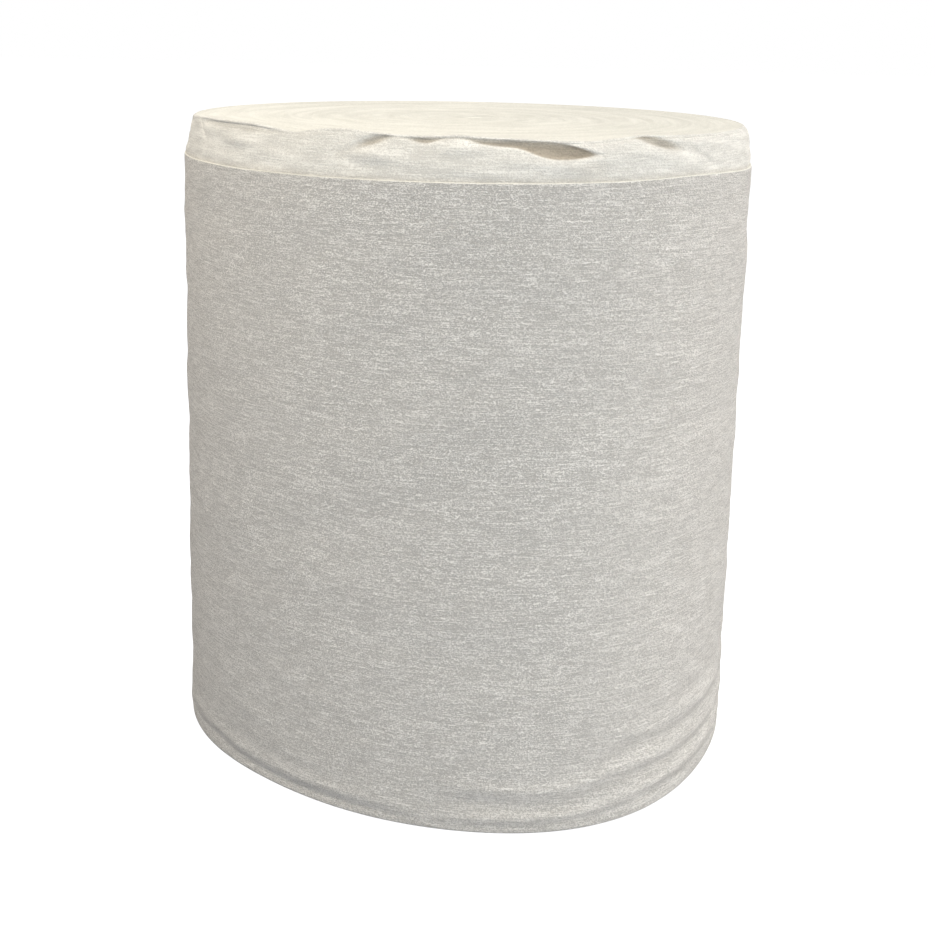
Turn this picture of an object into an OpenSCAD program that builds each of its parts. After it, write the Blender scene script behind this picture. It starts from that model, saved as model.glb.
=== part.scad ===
// Roll of nonwoven cleaning wipers, standing on its end.
// One long web is wound on itself, with no core, so the whole roll is one solid.
// The outer turn has slid down a little: its cut edge makes a ring below the top,
// the turns inside it lean in as a ribbed shoulder, and the slack bunches at the base.

/* [Roll] */
// Height from the base to the ends of the inner turns
roll_height = 250; // [200:1:300]
// Diameter across the outer turn, below its cut edge
roll_diameter = 225; // [160:1:260]

/* [Winding] */
// Turns drawn on each end; each stands for a bundle of thinner real ones
end_turns = 17; // [8:1:20]
// Depth of the spiral valley between two turns on the top
top_valley = 1.3; // [0.4:0.1:2]
// Depth of the same valley on the base, where the weight closes it
base_valley = 0.9; // [0.3:0.1:1.5]
// Radius of the closed middle, where the web starts
centre_radius = 6; // [3:0.5:12]
// Step down at the free end of the web
web_step = 1; // [0.4:0.1:2]
// Direction of the free end, from +X towards +Y
free_end_angle = 112; // [60:1:150]

/* [Shoulder] */
// How far the cut edge of the outer turn lies below the top
outer_drop = 14; // [8:0.5:24]
// Thickness of the outer turn where its cut edge shows
edge_thickness = 1.1; // [0.6:0.1:2]
// How far the shoulder leans in above that edge, all round
shoulder_lean = 2.2; // [1:0.1:8]
// How much further it leans in at the front
front_lean = 5; // [0:0.5:9]
// Direction of that lean
front_lean_angle = 262; // [250:2:290]
// Half width of it, in degrees
front_lean_width = 60; // [30:1:70]
// Edges of turns drawn on the shoulder
shoulder_ribs = 6; // [3:1:8]
// Depth of the nick between two of those edges
rib_nick = 0.5; // [0.2:0.1:1]
// Direction in which the shoulder is full and round; it is straight on the other side
full_shoulder_angle = 350; // [300:5:360]

/* [Dents in the rim] */
// Direction of the left dent, where the top flows over
left_dent_angle = 236; // [215:1:245]
// Half width of the left dent, in degrees
left_dent_width = 6; // [5:1:14]
// Depth of the left dent
left_dent_depth = 1.5; // [0:0.25:6]
// Direction of the right dent
right_dent_angle = 309; // [300:1:320]
// Half width of the right dent, in degrees
right_dent_width = 7; // [5:1:14]
// Depth of the right dent
right_dent_depth = 1.6; // [0:0.1:5]
// Direction of the crease that opens below the rim
crease_angle = 285; // [275:1:295]
// Half width of the crease, in degrees
crease_width = 10; // [7:1:20]
// How far the crease cuts in below the rim
crease_depth = 3.5; // [0:0.25:5]
// Direction of the shallow crease on the left
left_crease_angle = 218; // [205:1:230]
// Half width of the shallow crease, in degrees
left_crease_width = 13; // [8:1:18]
// How far the shallow crease cuts in
left_crease_depth = 1; // [0:0.1:2]

/* [Base] */
// How far the slack outer turn spreads at the base, all round
base_spread = 3.2; // [0:0.1:6]
// How far the roll bulges over the base where the folds are
bulge = 10.5; // [0:0.5:14]
// Direction of the bulge
bulge_angle = 296; // [280:1:320]
// Half width of the bulge, in degrees
bulge_width = 29; // [20:1:45]
// How far the roll tucks in beside the bulge
tuck = 4.6; // [0:0.2:8]
// Direction of the tuck
tuck_angle = 229; // [210:1:250]
// Half width of the tuck, in degrees
tuck_width = 26; // [15:1:40]
// How far the slumped base stands off the axis of the top
base_shift = 1.8; // [0:0.2:4]
// Direction of that shift
base_shift_angle = 215; // [200:1:230]
// Radius of the rounded foot
foot_round = 1.25; // [1:0.25:3.5]

/* [Folds at the base] */
// Folds, one above the other
fold_count = 3; // [2:1:4]
// Distance between two folds
fold_pitch = 14.5; // [10:0.5:18]
// Height of the lowest fold
first_fold = 8.5; // [7:0.5:12]
// How far the folds stand out where they are fullest
fold_depth = 1.3; // [0:0.1:3]
// Share of its depth that each fold keeps over the one below
fold_fade = 0.75; // [0.5:0.05:1]
// Direction in which they are fullest
fold_angle = 310; // [290:2:330]
// Half width of the bunched part, in degrees
fold_width = 42; // [25:1:60]
// How far the folds climb to both sides of their lowest place
fold_climb = 8; // [0:0.5:12]
// Direction of that lowest place
fold_low_angle = 288; // [270:2:306]
// Half width of the low place, in degrees
fold_low_width = 32; // [20:1:45]
// Depth of the shallower folds on the left
left_fold_depth = 0.5; // [0:0.1:2]
// Direction of the folds on the left
left_fold_angle = 230; // [215:1:245]
// Half width of the folds on the left, in degrees
left_fold_width = 24; // [15:1:35]

/* [Hidden] */

// points round each ring; the last gap is narrow, and the free end steps down in it
around = 56;
free_end_gap = 0.8;
outer_radius = roll_diameter / 2;
edge_height = roll_height - outer_drop;
// the last ring of each end spiral, two rings to a turn and two to run out on the rim
last_ring = 2 * end_turns + 2;
foot_land = 3;
// how far a crease reaches below the rim, for each millimetre that it cuts in
crease_reach = 1.25;

function share(i) = i / (around - 1);
function angle(i) = free_end_angle + (360 - free_end_gap) * share(i);

// shortest way round between two directions, then a soft hump on that distance
function apart(a, b) = abs((a - b + 1620) % 360 - 180);
function hump(a, at, half_width) = exp(-pow(apart(a, at) / half_width, 2));

// the outer turn: round at its cut edge, slack and uneven at the base
function base_grow(a) = base_spread + bulge * hump(a, bulge_angle, bulge_width)
    - tuck * hump(a, tuck_angle, tuck_width) + base_shift * cos(a - base_shift_angle);
function side_radius(i, z) = outer_radius - web_step * (1 - share(i))
    + base_grow(angle(i)) * (1 - z / edge_height);

// how strongly the web bunches at the base, in millimetres
function fold_size(a) = fold_depth * hump(a, fold_angle, fold_width)
    + left_fold_depth * hump(a, left_fold_angle, left_fold_width);
function fold_lift(a) = fold_climb * (1 - hump(a, fold_low_angle, fold_low_width));

// the rim of the top leans in from the cut edge, and is dented in places
function lean(a) = shoulder_lean + front_lean * hump(a, front_lean_angle, front_lean_width);
function rim_radius(a) = outer_radius - edge_thickness - lean(a);
function rim_drop(a) = left_dent_depth * hump(a, left_dent_angle, left_dent_width)
    + right_dent_depth * hump(a, right_dent_angle, right_dent_width);
function rim_height(a) = roll_height - rim_drop(a);
function crease(a) = crease_depth * hump(a, crease_angle, crease_width)
    + left_crease_depth * hump(a, left_crease_angle, left_crease_width);

// place of ring k of an end spiral, in turns from the middle
function turn_place(k, i) =
    k == 0 ? 0 :
    k == 1 ? share(i) / 2 :
    k == last_ring ? end_turns :
    k == last_ring - 1 ? end_turns - 0.5 + share(i) / 2 :
    (k - 2) / 2 + share(i);
// valleys lie on the odd rings; the first and the last one run out
function valley(k, i) =
    k % 2 == 0 ? 0 :
    k == 1 ? share(i) :
    k == last_ring - 1 ? 1 - share(i) : 1;

function polar(r, a, z) = [r * cos(a), r * sin(a), z];

// one point of the base, whose outer turns follow the uneven outline
function foot_radius(i) = side_radius(i, 0) - foot_round;
function base_point(k, i) =
    let (far = turn_place(k, i) / end_turns)
    let (even = centre_radius + (outer_radius - foot_round - foot_land - centre_radius) * far)
    let (r = even + (foot_radius(i) - outer_radius + foot_round) * far * far)
    polar(r, angle(i), base_valley * valley(k, i));

// one point of the top, whose dents fade towards the middle
function top_point(k, i) =
    let (far = turn_place(k, i) / end_turns)
    let (r = centre_radius + (rim_radius(angle(i)) - centre_radius) * far)
    polar(r, angle(i), roll_height - top_valley * valley(k, i) - rim_drop(angle(i)) * pow(far, 9));

// the outer turn from the foot up, as pairs of a height and a share of the fold
fold_top = first_fold + fold_pitch * (fold_count - 0.5);
fold_rings = [for (j = [0 : 2 * fold_count - 1])
    [first_fold + fold_pitch * j / 2, (j % 2 == 0 ? 1 : -0.8) * pow(fold_fade, j / 2)]];
plain_steps = 6;
plain_rings = [for (j = [1 : plain_steps]) [fold_top + (edge_height - 1 - fold_top) * j / plain_steps, 0]];
side_rings = concat([[foot_round, 0.2], [first_fold * 0.55, -0.6]], fold_rings, plain_rings);

function side_point(ring, i) =
    let (a = angle(i))
    let (low = 1 - ring[0] / edge_height)
    let (z = ring[0] + (ring[0] > foot_round ? fold_lift(a) * pow(low, 5) : 0))
    polar(side_radius(i, z) + ring[1] * fold_size(a), a, z);

// the shoulder: full and round on one side, straight on the other, with a nick between turns
function roundness(a) = 0.5 + 0.5 * cos(a - full_shoulder_angle);
function shoulder_out(a, s) = (1 - s) * (1 - roundness(a)) + cos(90 * s) * roundness(a);
function shoulder_up(a, s) = s * (1 - roundness(a)) + sin(90 * s) * roundness(a);
function shoulder_point(j, i) =
    let (a = angle(i))
    let (s = floor(j / 2) / shoulder_ribs + (j % 2 == 0 ? 0 : 0.75 / shoulder_ribs))
    let (cut = crease(a) * pow(s, 4) + (j % 2 == 0 ? rib_nick : 0))
    let (r = rim_radius(a) + lean(a) * shoulder_out(a, s) - cut)
    let (z = edge_height + (rim_height(a) - crease(a) * crease_reach - edge_height) * shoulder_up(a, s))
    polar(r, a, z);

ring_list = concat(
    [[for (i = [0 : around - 1]) polar(foot_radius(i), angle(i), 0)]],
    [for (ring = side_rings) [for (i = [0 : around - 1]) side_point(ring, i)]],
    [[for (i = [0 : around - 1]) polar(side_radius(i, edge_height) - 0.2, angle(i), edge_height)]],
    [[for (i = [0 : around - 1]) polar(side_radius(i, edge_height) - edge_thickness, angle(i), edge_height)]],
    [for (j = [1 : 2 * shoulder_ribs]) [for (i = [0 : around - 1]) shoulder_point(j, i)]]
);

// an end spiral drops the points that would lie on its first or last ring
function first_point(k) = k == 1 || k == 2 ? 1 : 0;
end_rings = last_ring + 1;
base_start = 0;
side_start = base_start + 1 + end_rings * around;
top_start = side_start + len(ring_list) * around;

// number of point i on ring k of an end whose points begin at start
function at(start, k, i) =
    i == around ? (k == 0 ? at(start, 0, 0) : at(start, min(k + 2, last_ring), 0)) :
    i < first_point(k) ? at(start, 0, 0) :
    start + 1 + k * around + i;
function side_at(k, i) = side_start + k * around + i % around;

// a patch of four corners becomes two triangles, and one with equal corners loses them
function patch(p, q, r, s) = [if (p != q && q != r && p != r) [p, q, r], if (p != r && r != s && p != s) [p, r, s]];
function turned(faces) = [for (f = faces) [f[2], f[1], f[0]]];
function end_faces(start) = concat(
    [for (i = [0 : around - 1]) [start, at(start, 0, i), at(start, 0, i + 1)]],
    [for (k = [0 : last_ring - 1]) for (i = [0 : around - 1])
        for (f = patch(at(start, k, i), at(start, k + 1, i), at(start, k + 1, i + 1), at(start, k, i + 1))) f]
);
function belt(low, high) = [for (i = [0 : around - 1])
    for (f = patch(low[i], low[(i + 1) % around], high[(i + 1) % around], high[i])) f];

base_rim = [for (i = [0 : around - 1]) at(base_start, last_ring, i)];
top_rim = [for (i = [0 : around - 1]) at(top_start, last_ring, i)];
side_belts = [for (k = [0 : len(ring_list) - 1]) [for (i = [0 : around - 1]) side_at(k, i)]];
belts = concat([base_rim], side_belts, [top_rim]);

points = concat(
    [[0, 0, 0]],
    [for (k = [0 : last_ring]) for (i = [0 : around - 1]) base_point(k, i)],
    [for (ring = ring_list) for (p = ring) p],
    [[0, 0, roll_height]],
    [for (k = [0 : last_ring]) for (i = [0 : around - 1]) top_point(k, i)]
);
faces = concat(
    end_faces(base_start),
    turned(end_faces(top_start)),
    [for (k = [0 : len(belts) - 2]) for (f = turned(belt(belts[k], belts[k + 1]))) f]
);

// the middle of the box round the roll goes to the origin
xs = [for (p = points) p[0]];
ys = [for (p = points) p[1]];
box_middle = [(max(xs) + min(xs)) / 2, (max(ys) + min(ys)) / 2, 0];

// The wound web, from its base to its dented top
module wiper_roll() {
    color([0.86, 0.85, 0.81])
        translate(-box_middle)
            polyhedron(points = points, faces = faces, convexity = 6);
}

wiper_roll();
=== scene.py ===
# %% [markdown]
# # A roll of cleaning wipers
# One long nonwoven web is wound on itself and stands on its end. The outer turn has slid
# down a little, so its cut edge makes a thin bright ring below the top, and the slack has
# bunched into soft folds at the base. This lesson builds the roll from its own measures,
# row by row, because a wound thing is rows of rings and nothing else.

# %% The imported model, as a fixed frame
import math

import bpy
import numpy as np
from mathutils import Matrix, Vector


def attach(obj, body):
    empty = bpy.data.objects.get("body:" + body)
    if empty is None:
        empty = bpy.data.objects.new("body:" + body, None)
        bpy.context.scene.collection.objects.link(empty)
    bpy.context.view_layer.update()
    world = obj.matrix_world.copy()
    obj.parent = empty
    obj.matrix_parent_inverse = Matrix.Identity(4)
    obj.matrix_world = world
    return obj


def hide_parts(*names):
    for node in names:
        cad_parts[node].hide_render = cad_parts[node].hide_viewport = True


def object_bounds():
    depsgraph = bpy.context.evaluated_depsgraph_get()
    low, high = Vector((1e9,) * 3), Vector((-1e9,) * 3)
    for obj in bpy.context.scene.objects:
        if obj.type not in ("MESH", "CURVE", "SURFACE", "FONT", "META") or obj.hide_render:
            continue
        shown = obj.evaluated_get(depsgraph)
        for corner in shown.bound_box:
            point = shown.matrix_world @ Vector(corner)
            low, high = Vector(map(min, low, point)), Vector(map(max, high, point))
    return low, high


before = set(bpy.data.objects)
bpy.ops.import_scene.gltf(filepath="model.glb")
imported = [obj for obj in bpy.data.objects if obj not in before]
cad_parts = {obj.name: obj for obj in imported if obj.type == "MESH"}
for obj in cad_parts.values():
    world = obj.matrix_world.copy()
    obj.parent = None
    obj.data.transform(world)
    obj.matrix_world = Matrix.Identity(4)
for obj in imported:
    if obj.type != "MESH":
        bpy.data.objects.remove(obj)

cad_low, cad_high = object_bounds()
print("CAD box in mm", [round(1000 * (b - a), 1) for a, b in zip(cad_low, cad_high)])

# %% [markdown]
# ## Measures
# All lengths are in millimetres and all directions in degrees from +X towards +Y, so the
# photographed front is at 270. The measures of the solid come first, and every ring of the
# finished roll is worked out from them.

# %% The roll's own measures
MM = 0.001
ROLL_HEIGHT = 250.0
OUTER_RADIUS = 112.5
EDGE_HEIGHT = ROLL_HEIGHT - 14.0
EDGE_THICKNESS = 1.1
SHOULDER_LEAN = 2.2
FRONT_LEAN = 5.0
FOOT_ROUND = 1.25
FOOT_BENDS = 5
WEB_STEP = 1.0
FREE_END = 112.0
FREE_END_GAP = 0.4
print("cut edge at", EDGE_HEIGHT, "mm, radius there", OUTER_RADIUS, "mm")


def hump(angle, at, half_width, other_half=None):
    """A soft hump round a direction; the second width is for the side past it."""
    away = (angle - at + 180.0) % 360.0 - 180.0
    width = np.where(away < 0, half_width, half_width if other_half is None else other_half)
    return np.exp(-((away / width) ** 2))


def smooth(share):
    """Eases from 0 to 1 as share goes from 0 to 1."""
    share = np.clip(share, 0.0, 1.0)
    return share * share * (3.0 - 2.0 * share)


# %% [markdown]
# ## Soft unevenness
# A wound web is never quite round. A handful of long waves, each with a whole number of
# periods round the roll, closes on itself at the seam, which noise on a flat sheet wouldn't.

# %% Waves that close round the roll
def wave_field(seed, count, around, along, size):
    """Returns a function of direction and place that sums seeded waves, about size high."""
    random = np.random.default_rng(seed)
    turns = random.integers(around[0], around[1] + 1, count)
    pitch = random.uniform(along[0], along[1], count) * random.choice([-1.0, 1.0], count)
    shift = random.uniform(0.0, 2.0 * math.pi, count)
    part = size * math.sqrt(2.0 / count)

    def field(angle, place):
        total = 0.0
        for n, p, s in zip(turns, pitch, shift):
            total = total + np.sin(np.radians(angle) * n + 2.0 * math.pi * place / p + s)
        return part * total

    return field


# the slack of the outer turn, and the finer ripple of its web
slack = wave_field(3, 14, (2, 11), (26.0, 90.0), 0.18)
ripple = wave_field(5, 26, (7, 30), (8.0, 24.0), 0.08)
print("slack at the front, half way up", round(float(slack(270.0, 125.0)), 3), "mm")

# %% [markdown]
# ## The outer turn
# The side is the outer turn of the web. It is round at its cut edge, spreads towards the
# base, bulges at the front right and tucks in beside the bulge. The slack web lies in soft
# folds there. Each fold is a crest or a hollow that runs along the web, set by a few points.

# %% How the outer turn spreads and folds
def base_grow(angle):
    """How far the web stands out at the base: slumped to 215, bulged at 296, tucked in at 229."""
    even = 3.2 + 1.8 * np.cos(np.radians(angle - 215.0))
    return even + 10.5 * hump(angle, 296, 29) - 4.6 * hump(angle, 229, 26)


def along(points, angle, column):
    """Reads one value along listed points, eased over the corners; columns from 2 end at 0."""
    where = [point[0] for point in points]
    values = [point[column] for point in points]
    eased = [np.interp(angle % 360.0 + d, where, values) for d in (-1.2, -0.6, 0.0, 0.6, 1.2)]
    return sum(eased) / 5.0


# half height of each crest or hollow, then its points: direction, height, how far it stands out
FOLDS = [
    (1.7, [
        (266, 2.6, 0.0), (280, 2.8, -0.7), (296, 4.0, -0.9), (304, 5.4, -0.9),
        (332, 5.8, -0.8), (348, 6.0, -0.2), (359, 6.0, 0.0)
    ]),
    (2.2, [
        (262, 5.5, 0.0), (272, 6.0, 0.9), (288, 6.6, 1.4), (296, 8.6, 1.35),
        (304, 10.6, 1.2), (332, 10.8, 0.9), (348, 11.0, 0.25), (359, 11.0, 0.0)
    ]),
    (2.3, [
        (264, 13.0, 0.0), (274, 12.0, -0.95), (288, 11.0, -1.6), (294, 13.0, -1.45),
        (300, 15.6, -1.35), (306, 16.4, -1.3), (332, 14.8, -0.9), (348, 14.5, -0.25),
        (359, 14.5, 0.0)
    ]),
    (2.6, [
        (266, 19.5, 0.0), (276, 17.5, 0.8), (288, 16.8, 1.2), (296, 20.0, 1.2),
        (304, 21.8, 1.3), (332, 19.8, 0.95), (348, 19.5, 0.25), (359, 19.5, 0.0)
    ]),
    (3.0, [
        (284, 23.0, 0.0), (294, 26.0, -0.65), (304, 27.0, -1.15), (332, 26.3, -0.95),
        (348, 26.0, -0.25), (359, 26.0, 0.0)
    ]),
    (3.4, [
        (292, 33.0, 0.0), (304, 32.8, 0.9), (332, 32.8, 0.95), (348, 32.5, 0.25),
        (359, 32.0, 0.0)
    ]),
    (3.6, [
        (298, 39.5, 0.0), (308, 39.5, -0.6), (332, 39.5, -0.7), (350, 39.0, -0.2),
        (359, 39.0, 0.0)
    ]),
    (2.6, [
        (190, 12.5, 0.0), (204, 11.6, 0.5), (212, 11.2, 0.95), (220, 9.6, 0.9),
        (230, 8.4, 0.9), (240, 8.2, 1.0), (250, 8.4, 0.9), (258, 7.6, 0.55),
        (266, 7.0, 0.0)
    ]),
    (2.0, [
        (190, 7.5, 0.0), (204, 6.2, -0.5), (212, 6.0, -0.95), (220, 4.4, -0.8),
        (230, 3.4, -0.8), (240, 3.3, -0.9), (250, 3.5, -0.8), (258, 3.0, -0.45),
        (266, 3.0, 0.0)
    ]),
]


def folds(angle, height):
    """Sums the crests and hollows that run along the web."""
    total = np.zeros_like(angle)
    for half, points in FOLDS:
        away = (height - along(points, angle, 1)) / half
        total = total + along(points, angle, 2) * np.exp(-(away ** 2))
    return total


# soft wrinkles on the side: direction, height, half width in degrees, half height, tilt, depth
WRINKLES = [
    (257, 219, 9, 2.6, 0.30, -0.35), (280, 203, 13, 3.0, 0.00, 0.30),
    (255, 184, 9, 2.6, 0.25, -0.35), (222, 166, 8, 3.0, -0.05, 0.35),
    (316, 152, 13, 2.4, 0.00, 0.45), (322, 147, 10, 2.2, 0.00, -0.45),
    (291, 158, 6, 2.2, 0.00, -0.30), (303, 96, 14, 4.0, 0.05, 0.30),
    (238, 92, 16, 4.5, -0.04, 0.25), (266, 70, 14, 4.0, 0.05, -0.25),
    (214, 40, 9, 3.4, -0.45, 0.45), (224, 27, 9, 3.2, -0.40, 0.45),
    (236, 17, 10, 3.0, -0.25, 0.40), (240, 46, 8, 3.6, -0.40, 0.35),
]


def wrinkles(angle, height):
    """Sums the soft wrinkles, each a short tilted ridge or groove."""
    total = np.zeros_like(angle)
    for at, level, width, half, tilt, depth in WRINKLES:
        away = (angle - at + 180.0) % 360.0 - 180.0
        middle = level + tilt * away
        total = total + depth * np.exp(-((away / width) ** 2) - ((height - middle) / half) ** 2)
    return total


def edge_height(angle):
    """The cut edge of the outer turn wavers a little as it goes round."""
    wavers = 0.7 * hump(angle, 317, 15) - 0.8 * hump(angle, 347, 14) + 0.12 * slack(angle, 50.0)
    return EDGE_HEIGHT + wavers


print("folds", len(FOLDS), "and wrinkles", len(WRINKLES))


# %% [markdown]
# ## The rings of the side
# Rows are close together where the web folds and at the cut edge, and far apart between
# them, so the points go where the shape needs them.

# %% Directions round the roll
AROUND = 512
share_round = np.arange(AROUND) / (AROUND - 1)
angles = FREE_END + (360.0 - FREE_END_GAP) * share_round
step_round = WEB_STEP * (1.0 - share_round)


def ring(radius, height, directions=None):
    """Points of one ring; radius and height are one number or one value per direction."""
    directions = angles if directions is None else directions
    radius = np.broadcast_to(radius, directions.shape)
    height = np.broadcast_to(height, directions.shape)
    turn = np.radians(directions)
    return np.stack([radius * np.cos(turn), radius * np.sin(turn), height], axis=1)


def side_radius(height):
    return OUTER_RADIUS - step_round + base_grow(angles) * (1.0 - height / EDGE_HEIGHT)


print("directions round the roll", AROUND)

# %% Rings from the foot to the cut edge
FOLDED_UP_TO = 46.0
CALM_FROM = 66.0
LIP_FOOT = 1.6
# the cut edge is a thin rounded lip with a narrow gap behind it: how far in, how far down
LIP = [
    (0.0, 0.9), (0.02, 0.55), (0.12, 0.22), (0.32, 0.04),
    (0.55, 0.0), (0.8, 0.05), (0.98, 0.3), (1.05, 0.8)
]

side_rings = []
for bend in np.linspace(0.0, 90.0, FOOT_BENDS + 1)[:-1]:
    out = FOOT_ROUND * (1.0 - math.sin(math.radians(bend)))
    up = FOOT_ROUND * (1.0 - math.cos(math.radians(bend)))
    side_rings.append(ring(side_radius(up) - out, up))
low_rows = np.concatenate([
    np.linspace(FOOT_ROUND, FOLDED_UP_TO, 62)[:-1],
    np.linspace(FOLDED_UP_TO, CALM_FROM, 12)[:-1],
    np.linspace(CALM_FROM, EDGE_HEIGHT - LIP_FOOT, 58),
])
for row in low_rows:
    height = row + (edge_height(angles) - EDGE_HEIGHT) * (row / EDGE_HEIGHT) ** 6
    steady = smooth((row - FOOT_ROUND) / 6.0) * smooth((EDGE_HEIGHT - row) / 14.0)
    uneven = (slack(angles, row) + ripple(angles, row) + wrinkles(angles, height)) * steady
    folded = folds(angles, height) * smooth((row - FOOT_ROUND) / 2.0)
    side_rings.append(ring(side_radius(height) + folded + uneven, height))

for inward, down in LIP:
    side_rings.append(ring(side_radius(EDGE_HEIGHT) - inward, edge_height(angles) - down))
print("rings on the side", len(side_rings))

# %% [markdown]
# ## The shoulder
# Above the cut edge the turns inside show, each a little higher and further in than the one
# outside it. On the photographed roll these edges are fine level lines. The shoulder is
# nearly straight on the left and full and round on the right. The rim has sunk at two places,
# and the turns under it lie back there. A cut into a finished mesh would leave ragged faces,
# so the rim and what lies under it are functions of the direction and the height.

# %% The rim and the recesses under it
# the rim of the top, as directions and heights
RIM = [
    (190, 250.0), (205, 251.2), (224, 251.3), (229, 250.6), (233, 249.7), (235.5, 249.2),
    (238, 250.3), (242, 251.4), (247, 251.6), (252, 250.8), (257, 250.4), (262, 250.2),
    (268, 250.9), (274, 250.2), (282, 249.7), (288, 249.2), (294, 249.0), (299, 249.9),
    (304, 250.8), (311, 250.3), (325, 250.0),
]
# recesses: direction, height of the upper edge, height of the lower edge, depth
RECESSES = [
    [
        (202, 251.0, 248.6, 0.0), (206, 251.2, 248.4, 0.7), (224, 251.3, 247.8, 0.8),
        (230, 250.4, 248.0, 0.6), (234, 249.6, 248.6, 0.0)
    ],
    [
        (257, 250.4, 249.6, 0.0), (259, 250.4, 248.4, 1.2), (262.5, 250.2, 247.2, 1.8),
        (265, 250.5, 248.8, 1.1), (269, 250.9, 249.3, 1.1), (272, 250.3, 247.7, 1.6),
        (275, 250.1, 247.2, 2.0), (279, 249.9, 246.8, 2.4), (280.5, 249.75, 246.0, 2.6),
        (282, 249.6, 244.8, 2.8), (284, 249.3, 243.7, 3.0), (286, 249.0, 243.2, 3.2),
        (289, 248.3, 243.3, 2.9), (291, 247.3, 243.6, 2.4), (293, 246.2, 244.0, 1.4),
        (295, 245.2, 244.2, 0.0)
    ],
]
# soft hollows and swellings: direction, height, half width, half height, climb, depth
HOLLOWS = [
    (204.8, 247.0, 0.9, 3.6, -1.0, 0.7), (246.5, 243.8, 2.6, 4.0, -1.5, 0.8),
    (294.0, 239.8, 2.0, 3.8, -0.4, 0.7), (252.2, 247.9, 3.4, 1.6, 0.62, 2.4),
    (308.0, 248.0, 5.0, 1.6, -0.42, 3.0), (318.0, 244.0, 1.6, 5.0, -1.0, 0.5),
    (253.0, 244.0, 3.4, 2.4, 0.0, -1.0), (268.0, 247.4, 3.2, 2.4, 0.0, -0.8),
    (284.0, 242.0, 9.0, 1.8, 0.0, -0.5), (306.0, 244.6, 6.0, 2.2, -0.4, -0.6),
    (240.0, 247.0, 3.5, 4.0, 0.0, -0.4), (222.0, 245.5, 5.0, 2.6, 0.0, -0.7),
]
STEEP_CLIMB = 0.9


def rim_rise(angle):
    return along(RIM, angle, 1) - ROLL_HEIGHT


def gap(angle, height):
    """How far the shoulder lies back under the rim: sharp at the upper edge, soft at the lower."""
    total = np.zeros_like(angle)
    for points in RECESSES:
        upper, lower, depth = (along(points, angle, column) for column in (1, 2, 3))
        opens = smooth((upper - height) / 1.2)
        closes = smooth((height - lower + 0.5) / 1.6)
        total = np.maximum(total, depth * opens * closes)
    return total


def soft_dents(angle, height):
    """Hollows and, where the depth is below zero, swellings; a steep one is narrow and upright."""
    total = np.zeros_like(angle)
    for at, level, width, half, climb, depth in HOLLOWS:
        away = (angle - at + 180.0) % 360.0 - 180.0
        steep = abs(climb) >= STEEP_CLIMB
        aside = (away - (height - level) / climb if steep else away) / width
        above = (height - level if steep else height - level - climb * away) / half
        total = total + depth * np.exp(-(aside ** 2) - (above ** 2))
    return total


def recess(angle, height):
    return gap(angle, height) + soft_dents(angle, height)


print("recesses", len(RECESSES), "hollows and swellings", len(HOLLOWS))


# %% [markdown]
# The light on a real web dies away inside such a crease. These creases are only a few
# millimetres deep, and lamps alone leave them too pale. So shade is painted in: each point of
# the shoulder also gets a number that says how deep in a hollow it lies, and the material
# darkens with it.

# %% How much shade is painted on a place of the shoulder
def painted_shade(angle, height):
    """From 0 to 1, painted shade: recesses, dents, a shadow under the main recess, the edge's foot."""
    below_rim = 0.3 + 0.7 * smooth((ROLL_HEIGHT + rim_rise(angle) - height) / 3.0)
    # painted shade in the recesses, lighter close under the rim
    deep = smooth((gap(angle, height) - 0.4) / 1.2) * below_rim
    # painted shade in the soft dents
    painted_dent_shade = 0.6 * smooth((soft_dents(angle, height) - 0.3) / 1.9)
    # a painted shadow that runs down below the main recess's right end
    painted_shadow_below = 0.16 * hump(angle, 292.0, 3.0) * np.exp(-(((height - 240.5) / 3.2) ** 2))
    # painted shade at the shoulder's foot, in the gap just above the cut edge
    painted_shade_by_edge = 0.3 * np.exp(-(((height - edge_height(angle)) / 1.3) ** 2))
    return np.clip(deep + painted_dent_shade + painted_shadow_below + painted_shade_by_edge, 0.0, 1.0)


# %% How the shoulder leans
def lean(angle):
    return SHOULDER_LEAN + FRONT_LEAN * hump(angle, 262, 60)


def rim_radius(angle):
    return OUTER_RADIUS - EDGE_THICKNESS - lean(angle)


def roundness(angle):
    """0 where the shoulder is straight, at the left, and 1 where it is full, at the right."""
    return 0.5 + 0.5 * np.cos(np.radians(angle - 350.0))


shoulder_wave = wave_field(11, 16, (3, 24), (3.0, 9.0), 0.10)
nick_wave = wave_field(12, 16, (5, 40), (2.0, 6.0), 0.5)
print("lean at the front", round(float(lean(262.0)), 1), "mm, at the back", round(float(lean(82.0)), 1), "mm")

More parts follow.
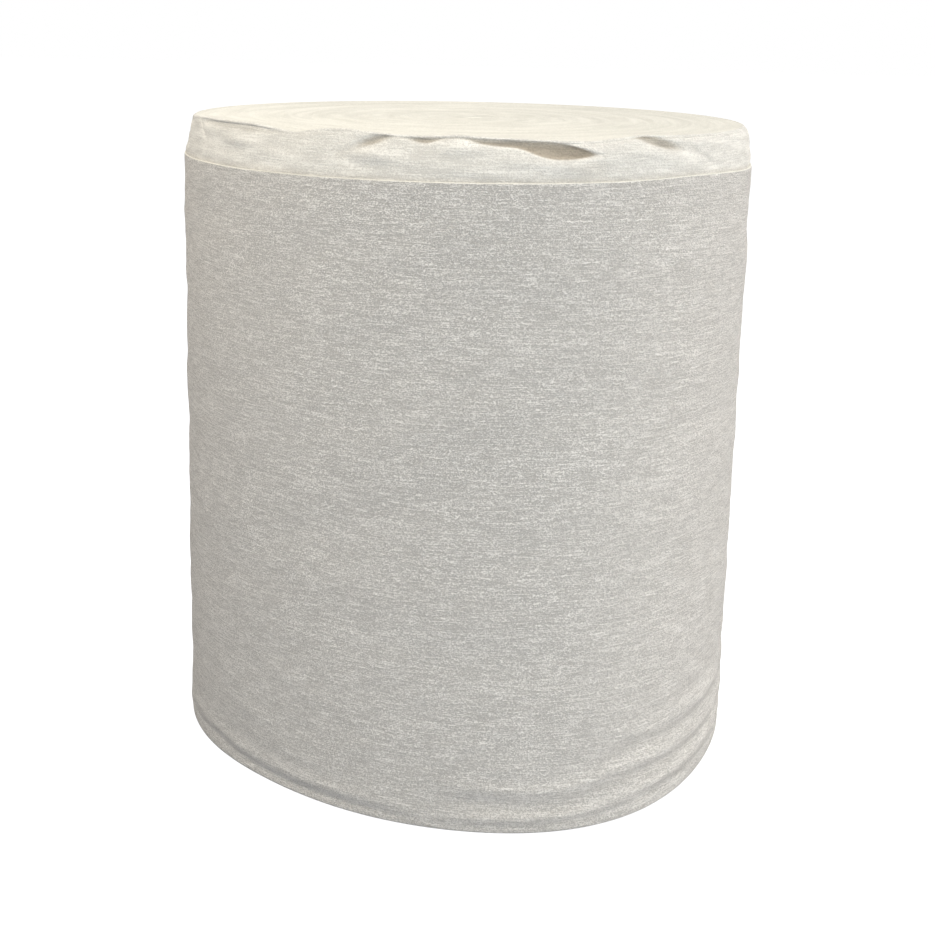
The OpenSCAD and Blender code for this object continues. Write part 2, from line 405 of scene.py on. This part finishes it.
# %% Rings of the shoulder
SHOULDER_TURNS = 17
TURN_NICKS = (0.05, 0.015, 0.0, 0.0, 0.015)
ROWS_PER_TURN = len(TURN_NICKS)
TURN_OVER = 0.9
RIM_ROUND = 1.2
SHOULDER_FOOT_DROP = 0.7
FINE_AROUND = 2 * AROUND - 1
fine_angles = FREE_END + (360.0 - FREE_END_GAP) * np.arange(FINE_AROUND) / (FINE_AROUND - 1)
rim_height = ROLL_HEIGHT + rim_rise(fine_angles)
rim_out = rim_radius(fine_angles)
full = roundness(fine_angles)
shoulder_foot = edge_height(fine_angles) - SHOULDER_FOOT_DROP
shoulder_rings, shoulder_painted_shade = [], []
for turn in range(SHOULDER_TURNS):
    for part in range(ROWS_PER_TURN):
        share = (turn + part / ROWS_PER_TURN) / SHOULDER_TURNS
        out = (1.0 - share) * (1.0 - full) + np.cos(np.pi / 2.0 * share) * full
        up = share * (1.0 - full) + np.sin(np.pi / 2.0 * share) * full
        nick = TURN_NICKS[part] * np.clip(1.0 + nick_wave(fine_angles, turn), 0.0, 2.0)
        height = shoulder_foot + (rim_height - TURN_OVER - shoulder_foot) * up
        radius = rim_out + lean(fine_angles) * out - nick - recess(fine_angles, height)
        radius = radius + shoulder_wave(fine_angles, 14.0 * share) * smooth(share * 6.0)
        shoulder_rings.append(ring(radius, height, fine_angles))
        shoulder_painted_shade.append(painted_shade(fine_angles, height))

# the rim turns over onto the top, and hangs over the recesses
for bend in (0.0, 18.0, 36.0, 54.0, 72.0, 90.0):
    bend_up, bend_in = math.sin(math.radians(bend)), 1.0 - math.cos(math.radians(bend))
    height = rim_height - TURN_OVER + TURN_OVER * bend_up
    radius = rim_out - RIM_ROUND * bend_in - recess(fine_angles, height) * (1.0 - bend_up) ** 2
    shoulder_rings.append(ring(radius, height, fine_angles))
    shoulder_painted_shade.append(painted_shade(fine_angles, height) * (1.0 - bend_up))
top_radius = rim_radius(angles) - RIM_ROUND
print("rings on the shoulder", len(shoulder_rings))


# %% [markdown]
# ## The ends of the turns
# Both ends show the web edge-on as one fine spiral. Each turn takes two rings, a crest and a
# valley, and the rings follow the spiral: after one round, ring k goes on as ring k + 2. The
# first valley grows out of the closed middle and the last one runs out on the rim.

# %% Places along an end spiral
CENTRE_RADIUS = 6.0
END_TURNS = 88
LAST_RING = 2 * END_TURNS + 2


def turn_place(k, share):
    """How many turns out from the middle ring k lies, at each share of one round."""
    if k == 0:
        return 0.0 * share
    if k == 1:
        return share / 2.0
    if k == LAST_RING:
        return END_TURNS + 0.0 * share
    if k == LAST_RING - 1:
        return END_TURNS - 0.5 + share / 2.0
    return (k - 2) / 2.0 + share


def valley(k, share):
    """1 in a valley between two turns and 0 on a crest."""
    if k % 2 == 0:
        return 0.0 * share
    if k == 1:
        return share
    if k == LAST_RING - 1:
        return 1.0 - share
    return 1.0 + 0.0 * share


bundle_wave = wave_field(21, 18, (0, 3), (6.0, 30.0), 0.16)
turn_wave = wave_field(22, 24, (1, 9), (2.2, 5.0), 0.07)


def end_rings(out_to, valley_depth, uneven, height_at):
    """Points of one end, ring by ring from the middle out; only rings 1 and 2 start late."""
    rings = []
    for k in range(LAST_RING + 1):
        far = turn_place(k, share_round) / END_TURNS
        radius = CENTRE_RADIUS + (out_to - CENTRE_RADIUS) * far
        if k not in (0, LAST_RING):
            fade = smooth((1.0 - far) * 14.0) * smooth(far * 10.0)
            rough = (bundle_wave(angles, radius) + turn_wave(angles, radius)) * uneven * fade
        else:
            rough = 0.0
        rings.append(ring(radius, height_at(far, valley_depth * valley(k, share_round), rough)))
    return rings


def top_height(far, valley_deep, rough):
    return ROLL_HEIGHT - valley_deep + rough + rim_rise(angles) * far ** 9


def base_height(far, valley_deep, rough):
    return np.maximum(valley_deep + rough, 0.0)


print("rings on each end", LAST_RING + 1)

# %% [markdown]
# ## From rings to meshes
# Rings that close on themselves make a belt of four-cornered faces. An end needs the shifted
# closing of a spiral, and a fan over its middle.

# %% Belts, ends and their meshes
def new_piece(name, points, faces, material):
    mesh = bpy.data.meshes.new(name)
    mesh.from_pydata((np.asarray(points) * MM).tolist(), [], faces)
    mesh.polygons.foreach_set("use_smooth", [True] * len(mesh.polygons))
    mesh.validate()
    mesh.update()
    mesh.materials.append(material)
    piece = bpy.data.objects.new(name, mesh)
    piece.location = ROLL_AXIS
    bpy.context.scene.collection.objects.link(piece)
    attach(piece, "root")
    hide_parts("wiper_roll")
    triangles = sum(len(p.vertices) - 2 for p in mesh.polygons)
    print(name, "points", len(mesh.vertices), "triangles", triangles)
    return piece


def belt_faces(rings):
    faces = []
    count = len(rings[0])
    for k in range(len(rings) - 1):
        for i in range(count):
            j = (i + 1) % count
            low, high = k * count, (k + 1) * count
            faces.append((low + i, low + j, high + j, high + i))
    return faces


def end_mesh(rings, middle_height, upside_down):
    """Points and faces of one end; a point that would repeat the middle's ring is dropped."""
    points = np.concatenate([[[0.0, 0.0, middle_height]]] + rings)

    def number(k, i):
        if i == AROUND:
            k, i = (0, 0) if k == 0 else (min(k + 2, LAST_RING), 0)
        if k in (1, 2) and i == 0:
            k = 0
        return 1 + k * AROUND + i

    faces = [(0, number(0, i), number(0, i + 1)) for i in range(AROUND)]
    for k in range(LAST_RING):
        for i in range(AROUND):
            corners = []
            for c in (number(k, i), number(k + 1, i), number(k + 1, i + 1), number(k, i + 1)):
                if c not in corners:
                    corners.append(c)
            if len(corners) > 2:
                faces.append(tuple(corners))
    if upside_down:
        faces = [tuple(reversed(f)) for f in faces]
    used = np.zeros(len(points), bool)
    used[[c for f in faces for c in f]] = True
    renumber = np.cumsum(used) - 1
    return points[used], [tuple(int(renumber[c]) for c in f) for f in faces]


# %% [markdown]
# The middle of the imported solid's box lies at the middle of the roll's reach. The slack base
# reaches further on some sides than on others, so the axis stands a little off that middle,
# by as much as the finished rings say.

# %% Where the roll's axis stands in the frame
reach = np.concatenate(side_rings)
reach_low, reach_high = reach.min(axis=0), reach.max(axis=0)
ROLL_AXIS = Vector(((cad_low[0] + cad_high[0]) / 2, (cad_low[1] + cad_high[1]) / 2, cad_low[2]))
ROLL_AXIS = ROLL_AXIS - Vector((*(MM * (reach_low + reach_high) / 2)[:2], 0.0))
print("the axis stands at", [round(1000 * v, 2) for v in ROLL_AXIS])

# %% [markdown]
# ## The nonwoven
# The web is felted from short fibres that lie mostly along it. From near, it is a fine level
# mottle of clumps a millimetre long; from further off, faint streaks run round the roll.
# Noise in flat coordinates would tear at the seam, so a first group turns a place into its
# direction from the axis, its radius and its height, and stretches noise along the turns.

# %% A small helper for node trees
def joined(tree, kind, x, y, settings=None, **inputs):
    """Adds a node and sets or links its inputs: Base_Color by name, n0 by number."""
    node = tree.nodes.new(kind)
    node.location = (x, y)
    for name, value in (settings or {}).items():
        setattr(node, name, value)
    for name, value in inputs.items():
        by_number = name[0] == "n" and name[1:].isdigit()
        socket = node.inputs[int(name[1:]) if by_number else name.replace("_", " ")]
        if isinstance(value, bpy.types.NodeSocket):
            tree.links.new(value, socket)
        else:
            socket.default_value = value
    return node


def new_group(name, inputs, outputs):
    """An empty group with named sockets; the third entry of an input is its own value."""
    tree = bpy.data.node_groups.new(name, "ShaderNodeTree")
    for label, kind, value in inputs:
        socket = tree.interface.new_socket(name=label, in_out="INPUT", socket_type=kind)
        if value is not None:
            socket.default_value = value
    for label, kind in outputs:
        tree.interface.new_socket(name=label, in_out="OUTPUT", socket_type=kind)
    source = tree.nodes.new("NodeGroupInput")
    source.location = (-1400, 0)
    result = tree.nodes.new("NodeGroupOutput")
    result.location = (900, 0)
    return tree, source, result


def place_inputs(across, round_count, level_count):
    """The sockets that say how a noise is stretched round the roll."""
    return [
        ("Place", "NodeSocketVector", None),
        ("Across", "NodeSocketFloat", across),
        ("Round", "NodeSocketFloat", round_count),
        ("Level", "NodeSocketFloat", level_count),
    ]


# %% Group: places that run round the roll
# Across is 0 on the side, where rows run level, and 1 on an end, where they run round.
turned_places, source, result = new_group(
    "Turned places", place_inputs(0.0, 90.0, 2000.0), [("Vector", "NodeSocketVector")]
)
parts = joined(turned_places, "ShaderNodeSeparateXYZ", -1200, 0, Vector=source.outputs["Place"])
flat = joined(turned_places, "ShaderNodeCombineXYZ", -1000, 100,
              X=parts.outputs["X"], Y=parts.outputs["Y"], Z=0.0)
radius = joined(turned_places, "ShaderNodeVectorMath", -800, 0, {"operation": "LENGTH"}, n0=flat.outputs[0])
towards = joined(turned_places, "ShaderNodeVectorMath", -800, 200, {"operation": "NORMALIZE"},
                 n0=flat.outputs[0])
spread = joined(turned_places, "ShaderNodeVectorMath", -600, 200, {"operation": "SCALE"},
                n0=towards.outputs[0], Scale=source.outputs["Round"])
level = joined(turned_places, "ShaderNodeMix", -600, 0, {"data_type": "FLOAT"},
               n0=source.outputs["Across"], n2=parts.outputs["Z"], n3=radius.outputs["Value"])
climb = joined(turned_places, "ShaderNodeMath", -400, 0, {"operation": "MULTIPLY"},
               n0=level.outputs[0], n1=source.outputs["Level"])
# noise is weaker on its own grid lines, which would show as upright columns on the side,
# so the rows also step aside as they climb
aside = joined(turned_places, "ShaderNodeMath", -300, -200, {"operation": "MULTIPLY"},
               n0=climb.outputs[0], n1=0.37)
lift = joined(turned_places, "ShaderNodeCombineXYZ", -200, 0,
              X=aside.outputs[0], Y=aside.outputs[0], Z=climb.outputs[0])
place = joined(turned_places, "ShaderNodeVectorMath", 0, 100, {"operation": "ADD"},
               n0=spread.outputs[0], n1=lift.outputs[0])
turned_places.links.new(place.outputs[0], result.inputs["Vector"])


def turned(tree, source):
    """Adds the first group inside another one and passes its four inputs on."""
    passed_on = {name: source.outputs[name] for name in ("Place", "Across", "Round", "Level")}
    return joined(tree, "ShaderNodeGroup", -1100, 0, {"node_tree": turned_places}, **passed_on)


print("group", turned_places.name, "has", len(turned_places.nodes), "nodes")

# %% [markdown]
# One group makes one layer of felt: a noise stretched round the roll, given a soft contrast.
# The materials lay several over each other, clumps over streaks over wide unevenness.

# %% Group: one layer of felt
LEAST_FELT, MOST_FELT = 0.22, 0.78

felt_layer, source, result = new_group(
    "Felt layer",
    place_inputs(0.0, 90.0, 2000.0) + [
        ("Detail", "NodeSocketFloat", 0.6), ("Roughness", "NodeSocketFloat", 0.5),
        ("Warp", "NodeSocketFloat", 0.25)
    ],
    [("Value", "NodeSocketFloat")],
)
placed = turned(felt_layer, source)
felt = joined(felt_layer, "ShaderNodeTexNoise", -700, 0, {"noise_dimensions": "3D"},
              Vector=placed.outputs[0], Scale=1.0, Detail=source.outputs["Detail"],
              Roughness=source.outputs["Roughness"], Distortion=source.outputs["Warp"])
spread_out = joined(felt_layer, "ShaderNodeMapRange", -400, 0, {"clamp": True},
                    Value=felt.outputs[0], n1=LEAST_FELT, n2=MOST_FELT, n3=0.0, n4=1.0)
felt_layer.links.new(spread_out.outputs[0], result.inputs["Value"])
print("group", felt_layer.name, "has", len(felt_layer.nodes), "nodes")

# %% [markdown]
# Single fibres are thin curly lines. Where a soft noise passes its middle value it draws just
# such lines, so the second group keeps a narrow band round that value.

# %% Group: curly fibres
curly_fibres, source, result = new_group(
    "Curly fibres",
    place_inputs(0.0, 60.0, 900.0) + [
        ("Thickness", "NodeSocketFloat", 0.05), ("Warp", "NodeSocketFloat", 0.6)
    ],
    [("Value", "NodeSocketFloat")],
)
placed = turned(curly_fibres, source)
tangle = joined(curly_fibres, "ShaderNodeTexNoise", -800, 0, {"noise_dimensions": "3D"},
                Vector=placed.outputs[0], Scale=1.0, Detail=1.0, Roughness=0.5,
                Distortion=source.outputs["Warp"])
off_middle = joined(curly_fibres, "ShaderNodeMath", -600, 0, {"operation": "SUBTRACT"},
                    n0=tangle.outputs[0], n1=0.5)
apart = joined(curly_fibres, "ShaderNodeMath", -450, 0, {"operation": "ABSOLUTE"}, n0=off_middle.outputs[0])
line = joined(curly_fibres, "ShaderNodeMapRange", -300, 0, {"clamp": True}, Value=apart.outputs[0],
              n1=0.0, n2=source.outputs["Thickness"], n3=1.0, n4=0.0)
curly_fibres.links.new(line.outputs[0], result.inputs["Value"])
print("group", curly_fibres.name, "has", len(curly_fibres.nodes), "nodes")


# %% [markdown]
# The shares of the layers add up to one grey value. It is spread between a shaded and a pale
# colour, and it also lifts the surface a little, because felt is as rough as it is uneven.
# The cloth itself is matt, with hardly any shine.

# %% A nonwoven material
# the colour that the painted shade in the shoulder's creases multiplies the felt by
PAINTED_SHADE_COLOUR = (0.56, 0.51, 0.45, 1.0)


def nonwoven(name, across, layers, fibres, darkest, palest, colour, shade, bump_height):
    """layers and fibres hold the count round the roll, the count per metre and the weight of each."""
    material = bpy.data.materials.new(name)
    material.use_nodes = True
    tree = material.node_tree
    tree.nodes.clear()
    place = joined(tree, "ShaderNodeTexCoord", -1500, 0)
    parts = [(felt_layer, *layer) for layer in layers] + [(curly_fibres, *layer) for layer in fibres]
    total = 0.0
    for row, (group, round_count, level_count, weight) in enumerate(parts):
        value = joined(tree, "ShaderNodeGroup", -1200, 600 - 250 * row, {"node_tree": group},
                       Place=place.outputs["Object"], Across=across, Round=round_count, Level=level_count)
        share = weight / sum(layer[3] for layer in parts)
        added = joined(tree, "ShaderNodeMath", -900 + 120 * row, 200, {"operation": "MULTIPLY_ADD"},
                       n0=value.outputs["Value"], n1=share, n2=total)
        total = added.outputs[0]
    near = joined(tree, "ShaderNodeMapRange", -250, 250, {"clamp": True}, Value=total,
                  n1=darkest, n2=palest, n3=0.0, n4=1.0)
    felted = joined(tree, "ShaderNodeMix", -100, 200, {"data_type": "RGBA", "blend_type": "MIX"},
                    n0=near.outputs[0], n6=(*shade, 1.0), n7=(*colour, 1.0))
    bump = joined(tree, "ShaderNodeBump", -100, -200, Strength=1.0, Distance=bump_height,
                  Height=near.outputs[0])
    # painted shade: the shoulder's hollow number darkens the felt in its creases; other pieces have none
    hollow = joined(tree, "ShaderNodeAttribute", -300, 0,
                    {"attribute_type": "GEOMETRY", "attribute_name": "hollow"})
    painted_shade_mix = joined(tree, "ShaderNodeMix", 50, 200, {"data_type": "RGBA", "blend_type": "MULTIPLY"},
                  n0=hollow.outputs["Fac"], n6=felted.outputs[2], n7=PAINTED_SHADE_COLOUR)
    cloth = joined(tree, "ShaderNodeBsdfPrincipled", 200, 100, Base_Color=painted_shade_mix.outputs[2],
                   Roughness=0.95, Specular_IOR_Level=0.1, Normal=bump.outputs[0])
    joined(tree, "ShaderNodeOutputMaterial", 500, 100, Surface=cloth.outputs[0])
    print("material", name, "has", len(parts), "layers")
    return material


# %% The felt of the side, the shoulder and the cut edges
side_felt = nonwoven(
    "nonwoven_face", 0.0,
    [(8.0, 260.0, 0.2), (16.0, 3200.0, 1.3), (60.0, 1900.0, 0.3), (150.0, 2700.0, 1.3), (380.0, 3200.0, 2.4)],
    [(60.0, 1500.0, 0.5), (130.0, 2200.0, 1.2)],
    0.325, 0.51, (0.98, 0.95, 0.91), (0.585, 0.563, 0.535), 0.0002
)
# the shoulder is the same web as the side, but its felt is paler: painted light for the brighter light on its
# leaning turns
shoulder_felt = nonwoven(
    "nonwoven_shoulder", 0.0,
    [(11.0, 330.0, 1.0), (14.0, 2600.0, 1.1), (160.0, 2200.0, 1.2), (330.0, 2600.0, 1.6)],
    [(60.0, 1500.0, 0.6), (130.0, 2200.0, 1.0)],
    0.31, 0.51, (0.93, 0.91, 0.86), (0.72, 0.70, 0.66), 0.0001
)
edge_felt = nonwoven(
    "nonwoven_cut_edges", 1.0,
    [(1.5, 180.0, 1.3), (4.0, 420.0, 1.0), (70.0, 800.0, 0.8)],
    [(60.0, 700.0, 0.6)],
    0.22, 0.72, (0.94, 0.92, 0.85), (0.77, 0.755, 0.69), 0.00006
)

# %% [markdown]
# ## The pieces
# The web is one thing, so its faces meet at their rims: the shoulder rises out of the gap
# behind the cut edge, and the top and the base close the roll. Four pieces keep the meshes
# small enough to work on, and each has the felt that shows there.

# %% The side and the shoulder
side = new_piece("outer_turn", np.concatenate(side_rings), belt_faces(side_rings), side_felt)
shoulder = new_piece("shoulder", np.concatenate(shoulder_rings), belt_faces(shoulder_rings), shoulder_felt)
# the painted shade is stored on the shoulder's points as the attribute hollow
painted_shade_values = np.concatenate(shoulder_painted_shade)
shoulder.data.attributes.new("hollow", "FLOAT", "POINT").data.foreach_set("value", painted_shade_values)
side.data.materials.append(edge_felt)
LIP_BELTS = 5
first_lip_face = (len(side_rings) - 1 - LIP_BELTS) * AROUND
for face in side.data.polygons[first_lip_face:]:
    face.material_index = 1

# %% The top
TOP_VALLEY = 0.40
top_rings = end_rings(top_radius, TOP_VALLEY, 1.0, top_height)
top_points, top_faces = end_mesh(top_rings, ROLL_HEIGHT, False)
new_piece("turn_ends_top", top_points, top_faces, edge_felt)

# %% [markdown]
# The turns inside the base stay round, and the outer ones follow the slack rim. So the base
# starts as a round end and grows outwards more and more towards its rim.

# %% The base
BASE_VALLEY = 0.35
BASE_UNEVEN = 0.35
round_rim = OUTER_RADIUS - FOOT_ROUND
spread_of_rim = (side_radius(0.0) - FOOT_ROUND) / round_rim - 1.0
base_rings = end_rings(round_rim, BASE_VALLEY, BASE_UNEVEN, base_height)
for points in base_rings:
    far = np.hypot(points[:, 0], points[:, 1]) / round_rim
    points[:, :2] *= (1.0 + spread_of_rim * far ** 2)[:, None]
base_points, base_faces = end_mesh(base_rings, 0.0, True)
new_piece("turn_ends_base", base_points, base_faces, edge_felt)

# %% [markdown]
# ## Floor, light and camera
# The photographed roll stands on pure white. The floor is a plain pale sheet that keeps a
# soft shadow, and what the camera sees past the roll is white by its own colour. More light
# would whiten the floor too, but it would wash out the roll. So the floor glows only where it
# is seen, straight or in a reflection, and lights nothing.

# %% What the camera sees, directly or through something
def seen_mask(tree):
    """1 for rays from the camera, reflections and clear things, and 0 for light itself."""
    seen = joined(tree, "ShaderNodeLightPath", -600, 200)
    straight = joined(tree, "ShaderNodeMath", -400, 300, {"operation": "MAXIMUM"},
                      n0=seen.outputs["Is Camera Ray"], n1=seen.outputs["Is Glossy Ray"])
    mask = joined(tree, "ShaderNodeMath", -250, 300, {"operation": "MAXIMUM"},
                  n0=straight.outputs[0], n1=seen.outputs["Is Transmission Ray"])
    return mask.outputs[0]


# %% A pale floor that keeps the shadow
FLOOR_SIDE = 8.0


def floor_material():
    material = bpy.data.materials.new("pale_floor")
    material.use_nodes = True
    tree = material.node_tree
    tree.nodes.clear()
    matt = joined(tree, "ShaderNodeBsdfDiffuse", -400, 0, Color=(0.44, 0.45, 0.48, 1.0))
    glow = joined(tree, "ShaderNodeEmission", -400, -200, Color=(1.0, 1.0, 1.0, 1.0), Strength=0.9)
    both = joined(tree, "ShaderNodeAddShader", -200, -100, n0=matt.outputs[0], n1=glow.outputs[0])
    mixed = joined(tree, "ShaderNodeMixShader", 0, 0, n0=seen_mask(tree), n1=matt.outputs[0],
                   n2=both.outputs[0])
    joined(tree, "ShaderNodeOutputMaterial", 200, 0, Surface=mixed.outputs[0])
    return material


floor_mesh = bpy.data.meshes.new("floor")
floor_corners = [(FLOOR_SIDE * x, FLOOR_SIDE * y, 0.0) for x, y in ((-1, -1), (1, -1), (1, 1), (-1, 1))]
floor_mesh.from_pydata(floor_corners, [], [(0, 1, 2, 3)])
floor_mesh.materials.append(floor_material())
floor = bpy.data.objects.new("floor", floor_mesh)
bpy.context.scene.collection.objects.link(floor)
print("floor half side", FLOOR_SIDE, "m")

# %% A white world, dimmer as light than as background
world = bpy.data.worlds.new("white_room")
bpy.context.scene.world = world
world.use_nodes = True
tree = world.node_tree
tree.nodes.clear()
room = joined(tree, "ShaderNodeBackground", -200, 0, Color=(0.93, 0.94, 0.95, 1.0), Strength=0.42)
white = joined(tree, "ShaderNodeBackground", -200, -150, Color=(1.0, 1.0, 1.0, 1.0), Strength=1.0)
mixed = joined(tree, "ShaderNodeMixShader", 0, 0, n0=seen_mask(tree), n1=room.outputs[0],
               n2=white.outputs[0])
joined(tree, "ShaderNodeOutputWorld", 200, 0, Surface=mixed.outputs[0])
print("world", world.name, "has", len(tree.nodes), "nodes")


# %% [markdown]
# The photograph's light is soft and comes from the right: the left of the roll is greyer, and
# nothing throws a hard shadow. Wide lamps high and low at the right do that. A small one at
# the left and a cool one low in front lift what would be too dark beside the photograph.

# %% Soft lamps
def soft_lamp(name, place, towards, size, power, colour):
    lamp = bpy.data.lights.new(name, "AREA")
    lamp.shape = "DISK"
    lamp.size = size
    lamp.energy = power
    lamp.color = colour
    stand = bpy.data.objects.new(name, lamp)
    stand.location = place
    stand.rotation_mode = "QUATERNION"
    stand.rotation_quaternion = (Vector(towards) - Vector(place)).to_track_quat("-Z", "Y")
    bpy.context.scene.collection.objects.link(stand)
    print("lamp", name, power, "W")


soft_lamp("high_right", (0.916, 0.333, 1.54), (0.0, 0.0, 0.15), 1.0, 12.0, (1.0, 0.98, 0.95))
soft_lamp("low_front_right", (0.916, -1.309, 0.73), (0.0, 0.0, 0.15), 1.0, 6.2, (1.0, 0.92, 0.76))
soft_lamp("low_right", (1.668, -0.294, 0.25), (0.0, 0.0, 0.1), 1.0, 8.8, (1.0, 0.97, 0.91))
soft_lamp("near_left", (-0.42, -0.22, 0.62), (0.0, 0.0, 0.2), 0.3, 1.8, (1.0, 0.92, 0.78))
soft_lamp("low_front", (0.2, -1.0, 0.12), (0.0, 0.0, 0.02), 0.5, 2.6, (0.80, 0.91, 1.0))

# %% [markdown]
# The camera stands where the photograph was taken from: fitted to the roll's outline, it is
# 611 mm from the axis and 290 mm up, and looks down by 17 degrees.

# %% The camera
IMAGE_WIDTH = 935.0
FOCAL_LENGTH_IN_PIXELS = 1498.68
SENSOR_WIDTH = 36.0
CAMERA_PLACE = (0.0, -0.61125, 0.28962)
YAW, PITCH, ROLL = 0.0040, 0.2945, 0.0207

camera_data = bpy.data.cameras.new("camera")
camera_data.sensor_width = SENSOR_WIDTH
camera_data.lens = FOCAL_LENGTH_IN_PIXELS / IMAGE_WIDTH * SENSOR_WIDTH
camera = bpy.data.objects.new("camera", camera_data)
ahead = Vector((math.sin(YAW) * math.cos(PITCH), math.cos(YAW) * math.cos(PITCH), -math.sin(PITCH)))
level_right = Vector((math.cos(YAW), -math.sin(YAW), 0.0))
level_up = level_right.cross(ahead)
right = math.cos(ROLL) * level_right + math.sin(ROLL) * level_up
up = math.cos(ROLL) * level_up - math.sin(ROLL) * level_right
turn = Matrix((right, up, -ahead)).transposed()
camera.matrix_world = Matrix.Translation(ROLL_AXIS + Vector(CAMERA_PLACE)) @ turn.to_4x4()
bpy.context.scene.collection.objects.link(camera)
bpy.context.scene.camera = camera
bpy.context.scene.view_settings.view_transform = "Standard"
print("lens", round(camera_data.lens, 1), "mm")

# %% [markdown]
# ## Last, the scene is brought up to date
# The finished roll has to match the imported solid's box. Only its rim rises a little above it.

# %% Bring the scene up to date
bpy.context.view_layer.update()
